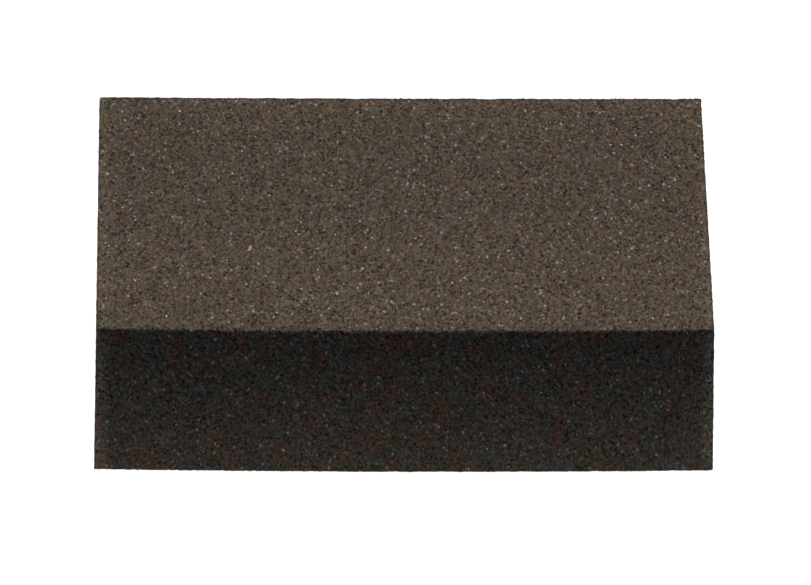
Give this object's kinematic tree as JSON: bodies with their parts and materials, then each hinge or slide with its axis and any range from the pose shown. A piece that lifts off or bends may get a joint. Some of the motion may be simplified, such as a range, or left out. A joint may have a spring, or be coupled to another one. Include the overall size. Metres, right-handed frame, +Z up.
{
  "type": "sanding block",
  "caption": "Rectangular foam hand sanding block with abrasive coated on its top, underside, front and back, and bare cut foam at both ends.",
  "frame": {"origin": "centre of the underside, the face the block lies on", "axes": "+X along the length, +Y from the front long side to the back one, +Z up through the thickness"},
  "size_m": [0.098, 0.0694, 0.0268],
  "materials": {
    "foam": "matte",
    "adhesive": "satin",
    "abrasive": "matte"
  },
  "bodies": {
    "root": {"foam_core": "foam", "top_adhesive_coat": "adhesive", "bottom_adhesive_coat": "adhesive", "front_adhesive_coat": "adhesive", "back_adhesive_coat": "adhesive", "top_abrasive_coat": "abrasive", "bottom_abrasive_coat": "abrasive", "front_abrasive_coat": "abrasive", "back_abrasive_coat": "abrasive"}
  },
  "joints": []
}
